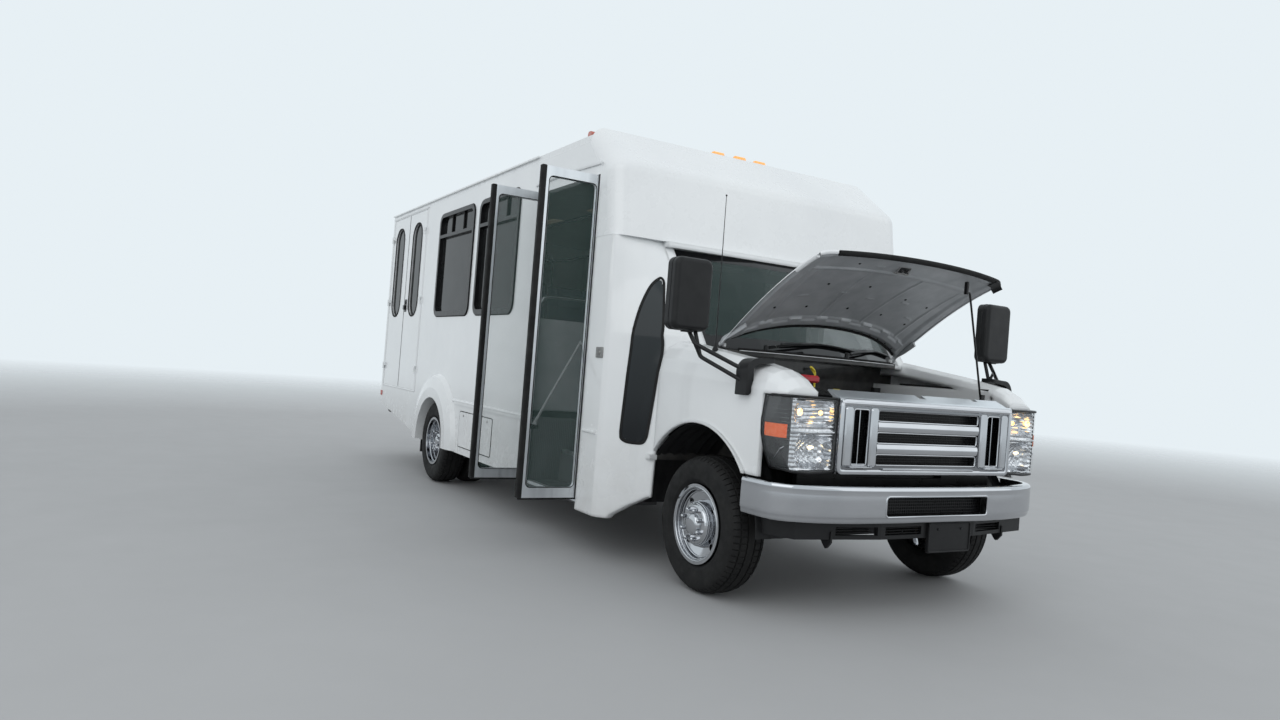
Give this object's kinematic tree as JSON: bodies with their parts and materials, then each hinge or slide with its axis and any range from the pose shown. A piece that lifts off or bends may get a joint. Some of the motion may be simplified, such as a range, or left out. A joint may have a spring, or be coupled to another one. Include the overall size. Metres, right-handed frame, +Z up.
{
  "type": "minibus",
  "caption": "Cutaway shuttle minibus on a van chassis with a raised hood, glazed two-leaf entry door, lift doors, twin rear wheels and a moulded front cap.",
  "frame": {"origin": "on the ground under the middle of the front axle, on the centre plane", "axes": "+X forward, +Y to the left, +Z up"},
  "size_m": [6.96, 2.9345, 2.773],
  "materials": {
    "chassis_black": "satin black, dusty",
    "cast_steel": "dull, lightly rusted",
    "tyre": "matt rubber",
    "wheel_chrome": "polished wheel liners",
    "white_paint": "gloss white",
    "white_gelcoat": "gloss white moulding",
    "floor_vinyl": "ribbed dark vinyl",
    "black_trim": "satin black",
    "tinted_glass": "dark tint",
    "clear_glass": "light green tint",
    "door_aluminium": "anodised extrusion",
    "dark_plastic": "grained",
    "bare_steel": "worn",
    "black_paint": "satin black",
    "grille_chrome": "bright surround and bars",
    "lamp_lens": "clear lens over reflector",
    "bumper_chrome": "bright pressing",
    "cast_iron": "oily",
    "marker_lens": "amber and red lenses",
    "seat_frame_paint": "grey powder coat",
    "seat_fabric": "dark blue-grey weave"
  },
  "bodies": {
    "vehicle": {"aerial_and_wipers": "black_trim", "cab_shell": "white_paint", "cabin_fittings": "seat_frame_paint", "chassis_frame": "chassis_black", "coach_floor": "floor_vinyl", "dashboard": "dark_plastic", "engine": "cast_iron", "engine_bay_fittings": "dark_plastic", "front_axle": "cast_steel", "front_bumper": "bumper_chrome", "front_cap": "white_gelcoat", "front_valance": "dark_plastic", "grille": "grille_chrome", "headlamps": "lamp_lens", "lamps": "marker_lens", "mirror_arms": "black_paint", "mirror_heads": "dark_plastic", "radiator_support": "black_paint", "rear_axle": "cast_steel", "rear_bumper": "black_paint", "rear_wall": "white_paint", "roof_shell": "white_gelcoat", "seat_cushions": "seat_fabric", "side_wall_left": "white_paint", "side_wall_right": "white_paint", "skirts": "white_paint", "tank_and_exhaust": "bare_steel", "window_frames": "black_trim", "window_glass": "tinted_glass", "windshield": "clear_glass"},
    "left_knuckle": {"knuckle_left": "cast_steel"},
    "right_knuckle": {"knuckle_right": "cast_steel"},
    "front_left_wheel": {"tyre_front_left": "tyre", "rim_front_left": "wheel_chrome"},
    "front_right_wheel": {"tyre_front_right": "tyre", "rim_front_right": "wheel_chrome"},
    "rear_left_wheel": {"tyres_rear_left": "tyre", "rims_rear_left": "wheel_chrome"},
    "rear_right_wheel": {"tyres_rear_right": "tyre", "rims_rear_right": "wheel_chrome"},
    "hood_lid": {"hood": "white_paint"},
    "prop_rod": {"hood_prop": "bare_steel"},
    "entry_front_leaf": {"entry_leaf_front": "door_aluminium", "entry_glass_front": "clear_glass"},
    "entry_rear_leaf": {"entry_leaf_rear": "door_aluminium", "entry_glass_rear": "clear_glass"},
    "lift_front_leaf": {"lift_leaf_front": "white_paint", "lift_glass_front": "tinted_glass"},
    "lift_rear_leaf": {"lift_leaf_rear": "white_paint", "lift_glass_rear": "tinted_glass"},
    "driver_leaf": {"driver_door": "white_paint", "driver_glass": "clear_glass"}
  },
  "joints": [
    {"name": "steer_left", "type": "hinge", "parent": "vehicle", "child": "left_knuckle", "pos_m": [0, 0.775, 0.372], "axis": [0, 0, 1], "range_deg": [-32, 32]},
    {"name": "steer_right", "type": "hinge", "parent": "vehicle", "child": "right_knuckle", "pos_m": [0, -0.775, 0.372], "axis": [0, 0, 1], "range_deg": [-32, 32]},
    {"name": "front_left_roll", "type": "hinge", "parent": "left_knuckle", "child": "front_left_wheel", "pos_m": [0, 0.881, 0.372], "axis": [0, 1, 0], "continuous": true},
    {"name": "front_right_roll", "type": "hinge", "parent": "right_knuckle", "child": "front_right_wheel", "pos_m": [0, -0.881, 0.372], "axis": [0, 1, 0], "continuous": true},
    {"name": "rear_left_roll", "type": "hinge", "parent": "vehicle", "child": "rear_left_wheel", "pos_m": [-4.013, 1.118, 0.372], "axis": [0, 1, 0], "continuous": true},
    {"name": "rear_right_roll", "type": "hinge", "parent": "vehicle", "child": "rear_right_wheel", "pos_m": [-4.013, -1.118, 0.372], "axis": [0, 1, 0], "continuous": true},
    {"name": "hood_hinge", "type": "hinge", "parent": "vehicle", "child": "hood_lid", "pos_m": [-0.28, 0, 1.375], "axis": [0, 1, 0], "range_deg": [0, 43]},
    {"name": "prop_pivot", "type": "hinge", "parent": "hood_lid", "child": "prop_rod", "pos_m": [0.5, 0.45, 1.778], "axis": [0, 1, 0], "range_deg": [0, 58.5]},
    {"name": "entry_front_hinge", "type": "hinge", "parent": "vehicle", "child": "entry_front_leaf", "pos_m": [-1.035, -1.19, 1.36], "axis": [0, 0, 1], "range_deg": [-90, 0]},
    {"name": "entry_rear_hinge", "type": "hinge", "parent": "vehicle", "child": "entry_rear_leaf", "pos_m": [-1.885, -1.19, 1.36], "axis": [0, 0, 1], "range_deg": [0, 90]},
    {"name": "lift_front_hinge", "type": "hinge", "parent": "vehicle", "child": "lift_front_leaf", "pos_m": [-4.785, -1.233, 1.7], "axis": [0, 0, 1], "range_deg": [0, 100]},
    {"name": "lift_rear_hinge", "type": "hinge", "parent": "vehicle", "child": "lift_rear_leaf", "pos_m": [-6.005, -1.233, 1.7], "axis": [0, 0, 1], "range_deg": [-100, 0]},
    {"name": "driver_hinge", "type": "hinge", "parent": "vehicle", "child": "driver_leaf", "pos_m": [-0.534, 0.986, 1], "axis": [0, 0, 1], "range_deg": [-65, 0]}
  ],
  "couplings": [
    {"joint": "steer_right", "follows": "steer_left", "ratio": 1},
    {"joint": "prop_pivot", "follows": "hood_hinge", "ratio": 1.3604},
    {"joint": "entry_rear_hinge", "follows": "entry_front_hinge", "ratio": -1}
  ]
}
